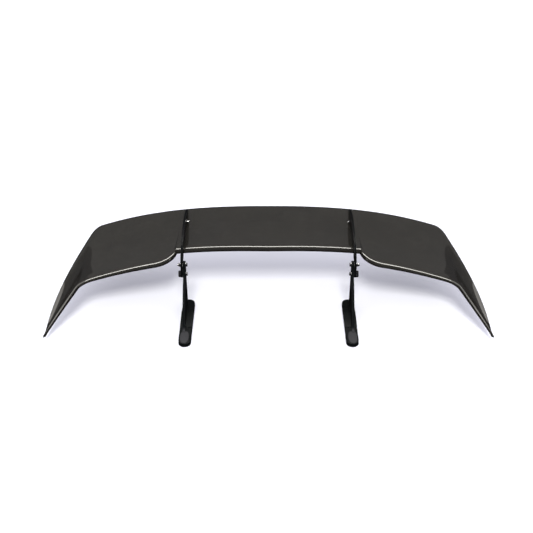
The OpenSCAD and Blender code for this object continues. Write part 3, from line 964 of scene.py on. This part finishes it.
    def outline(self) -> list[tuple[float, float, float]]:
        """The points round one skin.

        Returns:
            Tuples of chord share, lift and inset. A negative share means a point just behind
            the nose, set when the chord is known.
        """
        spread = [f * f * (1 - 0.25 * f) / 0.75 for f in
                  (k / self.steps for k in range(self.steps + 1))]
        outer = [(u, 1.0, 0.0) for u in spread]
        inner = [(u, 1.0, 1.0) for u in reversed(spread[2:])]
        return outer + [(1.0, 0.0, 0.0), (self.hollow_to, 0.0, 0.0)] + [
            (-u, *rest) for u, *rest in inner] + [(-0.0001, 0.0, 0.0)]

    def skin_piece(self, name: str, side: int, tree: ShapeTree) -> bpy.types.Object:
        """Builds one skin as a station grid that the section tree then shapes.

        Args:
            name: The piece's name.
            side: 1 for the upper skin, -1 for the lower.
            tree: The section tree.

        Returns:
            The finished piece.
        """
        ring = self.outline()
        rows = self.stations()
        count = len(ring)
        data: dict[str, list] = defaultdict(list)
        surface: list[tuple[float, float]] = []
        run, last = 0.0, None
        for t, hand in rows:
            lead, along, outward, chord = self.axes(t)
            turn = np.array([hand, 1.0, 1.0])
            middle = (lead + along * chord * 0.5) * turn
            run += 0.0 if last is None else float(np.linalg.norm(middle - last))
            last = middle
            hollow_from = 1.3 * self.skin / chord
            station = {
                "chord": chord * MM, "thick": self.thickness(t) * MM, "face_side": float(side),
                "closing": clamp01((t - self.closing_from) / self.closing_span),
                "blunt": mix(1.0, 0.5, clamp01((t - self.blunt_from) / (2 - self.blunt_from))),
                "lead": (lead + np.array([0, self.pivot_y, 0])) * turn * MM,
                "along": along * turn, "outward": outward * turn}
            for u, lift, inset in ring:
                share = u if u >= 0 else mix(hollow_from, self.hollow_to, -u if u < -0.001 else 0)
                for key, value in {**station, "share": share, "lift": lift,
                                   "inset": inset}.items():
                    data[key].append(value)
                surface.append((run * MM, (1 - share) * chord * MM))
        faces = []
        for i in range(len(rows) - 1):
            for k in range(count):
                a, b = i * count + k, i * count + (k + 1) % count
                faces.append((a, b, b + count, a + count))
        faces.append(tuple(reversed(range(count))))
        faces.append(tuple((len(rows) - 1) * count + k for k in range(count)))
        if side < 0:
            faces = [tuple(reversed(face)) for face in faces]
        mesh = bpy.data.meshes.new(name)
        mesh.from_pydata([tuple(p) for p in data["lead"]], [], faces)
        for key, values in data.items():
            kind = "FLOAT_VECTOR" if key in ("lead", "along", "outward") else "FLOAT"
            layer = mesh.attributes.new(key, kind, "POINT")
            flat = np.array(values, dtype=np.float32).ravel()
            layer.data.foreach_set("vector" if kind == "FLOAT_VECTOR" else "value", flat)
        uv = mesh.uv_layers.new(name="surface")
        loops = np.empty(len(mesh.loops), dtype=np.int32)
        mesh.loops.foreach_get("vertex_index", loops)
        uv.data.foreach_set("uv", np.array(surface, dtype=np.float32)[loops].ravel())
        piece = tree.apply(link_piece(name, mesh), {
            "Camber": self.camber, "Nose Share": self.nose_share,
            "Edge Thickness": self.te_thickness * MM, "Skin": self.skin * MM,
            "Finish": self.finish})
        for key in data:
            piece.data.attributes.remove(piece.data.attributes[key])
        smooth(piece.data, SKIN_CRISP)
        return piece

    def build(self) -> None:
        """Builds both skins on the wing body."""
        tree = section_tree()
        for word, side in (("upper", 1), ("lower", -1)):
            piece = self.skin_piece(f"{word}_shell", side, tree)
            hand_in(piece, "carbon", Body.WING, f"{word}_skin")


# ---- arms, stays and hardware


@dataclass(frozen=True)
class Fastener:
    """One kind of fastener, found once on each side of the wing."""

    stem: str
    slot: str
    body: Body
    edge: float = 0.3 * MM


@dataclass
class Hardware:
    """Bolts, nuts and studs: one master of each kind, set on both sides by a node tree."""

    finishes: Finishes
    kinds: tuple[Fastener, ...] = (
        Fastener("pivot_bolt", "stainless", Body.STAYS),
        Fastener("pivot_nut", "stainless", Body.STAYS),
        Fastener("lock_stud", "stainless", Body.STAYS),
        Fastener("fin_nut", "stainless", Body.WING),
        Fastener("fin_bolt", "dark_steel", Body.WING))

    def master(self, kind: Fastener) -> tuple[bpy.types.Object, Vector]:
        """Makes the right-hand fastener, moved so that its middle is at the origin.

        Args:
            kind: The kind of fastener.

        Returns:
            The master and the place it came from.
        """
        piece = softened_copy(f"{kind.stem}_right", kind.edge, 3)
        low, high = (Vector(corner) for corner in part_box(f"{kind.stem}_right"))
        middle = (low + high) / 2
        piece.data.transform(Matrix.Translation(-middle))
        return piece, middle

    def build(self) -> None:
        """Places every kind on both sides."""
        tree = repeat_tree()
        for kind in self.kinds:
            part, middle = self.master(kind)
            places = [(side.value * middle.x, middle.y, middle.z) for side in Side]
            turns = [(0.0, 0.0, 0.0 if side is Side.RIGHT else math.pi) for side in Side]
            mesh = bpy.data.meshes.new(kind.stem + "_set")
            mesh.from_pydata(places, [], [])
            layer = mesh.attributes.new("turn", "FLOAT_VECTOR", "POINT")
            layer.data.foreach_set("vector", np.array(turns, dtype=np.float32).ravel())
            piece = tree.apply(link_piece(kind.stem + "_set", mesh), {
                "Part": part, "Finish": self.finishes.by_slot[kind.slot]})
            bpy.data.objects.remove(part)
            smooth(piece.data, PLATE_CRISP)
            hand_in(piece, kind.slot, kind.body, *(f"{kind.stem}_{side.word}" for side in Side))


@dataclass
class PlateWork:
    """The swan necks, stays, pads and knobs: CAD outlines with softened edges."""

    finishes: Finishes
    edge: float = 0.6 * MM
    pad_edge: float = 0.8 * MM

    def soften(self, node: str, width: float, material: bpy.types.Material, slot: str,
               body: Body) -> None:
        """Replaces one CAD node with a softened copy.

        Args:
            node: The CAD node's name.
            width: Reach of the rounding.
            material: The finish.
            slot: The record's material slot.
            body: The body it rides on.
        """
        piece = softened_copy(node, width)
        piece.data.materials.append(material)
        hand_in(piece, slot, body, node)

    def build(self) -> None:
        """Builds both sides."""
        looks = self.finishes
        for side in Side:
            for stem, width, look, slot, body in (
                    ("neck", self.edge, looks.arm, "black_alloy", Body.WING),
                    ("stay", self.edge, looks.stay, "black_alloy", Body.STAYS),
                    ("foot_pad", self.pad_edge, looks.rubber, "rubber", Body.STAYS),
                    ("lock_knob", self.edge, looks.knob, "black_knob",
                     Body[f"KNOB_{side.name}"])):
                self.soften(f"{stem}_{side.word}", width, look, slot, body)


def dress_nodes(finishes: Finishes) -> None:
    """Dresses every CAD node by its material slot.

    Args:
        finishes: Every material.
    """
    for part in frame["record"]["subparts"]:
        metal = finishes.by_slot[part["material_slot"]]
        mesh = frame["nodes"][part["node"]].data
        mesh.materials.clear()
        mesh.materials.append(metal)
        log.info("%-26s %s", part["node"], metal.name)


# ---- stage, light and camera


@dataclass(frozen=True)
class Softbox:
    """A lit panel: its direction from the object in degrees, its two sides and its radiance."""

    heading: float
    height: float
    size: tuple[float, float]
    radiance: float
    aim: tuple[float, float, float] = (0.0, 0.0, 0.2)


@dataclass
class Studio:
    """A pale floor, soft light and the camera. A heading starts straight behind the object."""

    pivot: Vector
    elevation: float = math.radians(34.0)
    distance: float = 3.24
    lens: float = 60.788
    shift_right: float = 7.2 * MM
    shift_up: float = 6.5 * MM
    key_height: float = math.radians(51.0)
    key_power: float = 2.5
    key_spread: float = math.radians(17)
    surround: float = 1.15
    surround_tint: Colour = (0.88, 0.88, 1.0, 1.0)
    reflected: float = 0.09
    seen: float = 1.3
    below: float = 0.06
    warm: tuple[float, float, float] = (1.0, 0.97, 0.91)
    box_distance: float = 2.4
    strip: Softbox = Softbox(0.0, 72.0, (4.6, 0.34), 19.0)
    rear: Softbox = Softbox(0.0, 44.0, (4.4, 1.7), 0.22)
    corner: Softbox = Softbox(61.5, 34.0, (0.74, 2.3), 2.1, (0.75, -0.1, 0.08))
    flank: Softbox = Softbox(101.0, 28.0, (1.2, 0.9), 8.0)

    def build_floor(self) -> None:
        """Makes the floor and hides it from reflections and bounced light."""
        mesh = bpy.data.meshes.new("floor")
        mesh.from_pydata([(-9, -9, 0), (9, -9, 0), (9, 9, 0), (-9, 9, 0)], [], [(0, 1, 2, 3)])
        floor = link_piece("floor", mesh)
        material, graph, shader, solid = new_surface("studio_floor")
        cloud = graph.add("ShaderNodeTexNoise", {"Vector": solid, "Scale": 2.0, "Detail": 2.0})
        tint = graph.blend(cloud.outputs[0], (0.90, 0.90, 0.915, 1.0), (0.93, 0.93, 0.94, 1.0),
                           colour=True)
        graph.feed(shader, {"Base Color": tint, "Roughness": 0.75, "Specular IOR Level": 0.2})
        mesh.materials.append(material)
        floor.visible_glossy = False
        floor.visible_diffuse = False

    def build_surround(self) -> None:
        """Adds an even surround, dimmer in reflections, as round a stage with dark walls."""
        world = bpy.data.worlds.new("surround")
        world.use_nodes = True
        graph = Graph(world.node_tree)
        ground = world.node_tree.nodes["Background"]
        ground.inputs[0].default_value = self.surround_tint
        path = graph.add("ShaderNodeLightPath")
        way = graph.add("ShaderNodeTexCoord").outputs["Generated"]
        rise = graph.add("ShaderNodeSeparateXYZ", {0: way}).outputs[2]
        above = graph.blend(graph.ramp(rise, -0.05, 0.15), self.below, 1.0)
        level = graph.times(above, graph.blend(
            path.outputs["Is Glossy Ray"], self.surround, self.reflected))
        level = graph.blend(path.outputs["Is Camera Ray"], level, self.seen)
        graph.tree.links.new(level, ground.inputs[1])
        bpy.context.scene.world = world

    def add_softbox(self, name: str, box: Softbox, hand: int = 1) -> None:
        """Adds a softbox that shows only in reflections.

        Args:
            name: The light's name.
            box: Its place, size and radiance.
            hand: 1 as given, or -1 mirrored to the left.
        """
        data = bpy.data.lights.new(name, "AREA")
        data.shape = "RECTANGLE"
        data.size, data.size_y = box.size
        data.energy = box.radiance * math.pi * data.size * data.size_y
        data.color = self.warm
        lamp = link_piece(name, data)
        turn, lift = math.radians(hand * box.heading), math.radians(box.height)
        away = Vector((math.sin(turn) * math.cos(lift), math.cos(turn) * math.cos(lift),
                       math.sin(lift)))
        lamp.location = Vector((hand * box.aim[0], *box.aim[1:])) + away * self.box_distance
        lamp.rotation_euler = (-away).to_track_quat("-Z", "Y").to_euler()
        lamp.visible_diffuse = False
        lamp.visible_camera = False

    def build_light(self) -> None:
        """Adds the key light and the softboxes."""
        data = bpy.data.lights.new("key", "SUN")
        data.energy = self.key_power
        data.angle = self.key_spread
        key = link_piece("key", data)
        aim = Vector((0.0, math.cos(self.key_height), -math.sin(self.key_height)))
        key.rotation_euler = aim.to_track_quat("-Z", "Y").to_euler()
        key.visible_glossy = False
        self.add_softbox("strip", self.strip)
        self.add_softbox("rear", self.rear)
        for side in Side:
            self.add_softbox(f"corner_{side.word}", self.corner, side.value)
            self.add_softbox(f"flank_{side.word}", self.flank, side.value)

    def build_camera(self) -> None:
        """Adds the camera, in front of the object and above it."""
        data = bpy.data.cameras.new("view")
        data.sensor_width = 36.0
        data.lens = self.lens
        data.clip_end = 60.0
        camera = link_piece("view", data)
        ahead = Vector((0.0, math.cos(self.elevation), -math.sin(self.elevation)))
        up = Vector((0.0, math.sin(self.elevation), math.cos(self.elevation)))
        aim = Vector((0.0, self.pivot.y, self.pivot.z))
        camera.location = (aim - ahead * self.distance - up * self.shift_up
                           - Vector((self.shift_right, 0.0, 0.0)))
        camera.rotation_euler = (math.pi / 2 - self.elevation, 0.0, 0.0)
        bpy.context.scene.camera = camera

    def build(self) -> None:
        """Builds floor, light and camera."""
        bpy.context.scene.view_settings.view_transform = "Standard"
        self.build_floor()
        self.build_surround()
        self.build_light()
        self.build_camera()


def main() -> None:
    """Builds the object, its light and its camera."""
    logging.basicConfig(level=logging.INFO, format="%(message)s")
    finishes = Finishes()
    low, high = (Vector(corner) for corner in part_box("pivot_bolt_left"))
    pivot = (low + high) / 2
    neck_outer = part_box("neck_right")[1][0] / MM
    Aerofoil(finishes.laminate, pivot.y / MM, pivot.z / MM, neck_outer).build()
    PlateWork(finishes).build()
    Hardware(finishes).build()
    dress_nodes(finishes)
    Studio(pivot).build()


if __name__ == "__main__":
    main()
